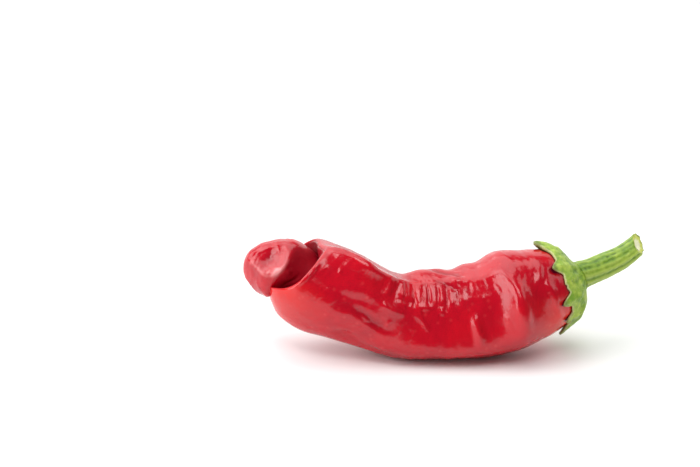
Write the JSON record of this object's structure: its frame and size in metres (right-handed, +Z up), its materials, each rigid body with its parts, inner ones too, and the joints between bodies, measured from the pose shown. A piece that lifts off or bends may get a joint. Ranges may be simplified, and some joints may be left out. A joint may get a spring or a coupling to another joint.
{
  "type": "sweet pointed pepper",
  "caption": "Long sweet pepper lying on its belly: a curved glossy red pod folded over at its blunt tip, with a toothed green calyx and a cut green stem.",
  "frame": {"origin": "on the surface that the pepper lies on, under the middle of its bounding box", "axes": "+Z up, +X along the pepper from its folded tip to its stem, -Y the side that shows best; both ends bend towards +Y and upwards"},
  "size_m": [0.1414, 0.0399, 0.0397],
  "materials": {
    "pod": "glossy waxy red skin",
    "calyx": "satin yellow-green leaf with fine mottling",
    "stem": "satin ribbed green stem with a pale cut end"
  },
  "bodies": {
    "root": {"pod": "pod", "calyx": "calyx", "stem": "stem"}
  },
  "joints": []
}
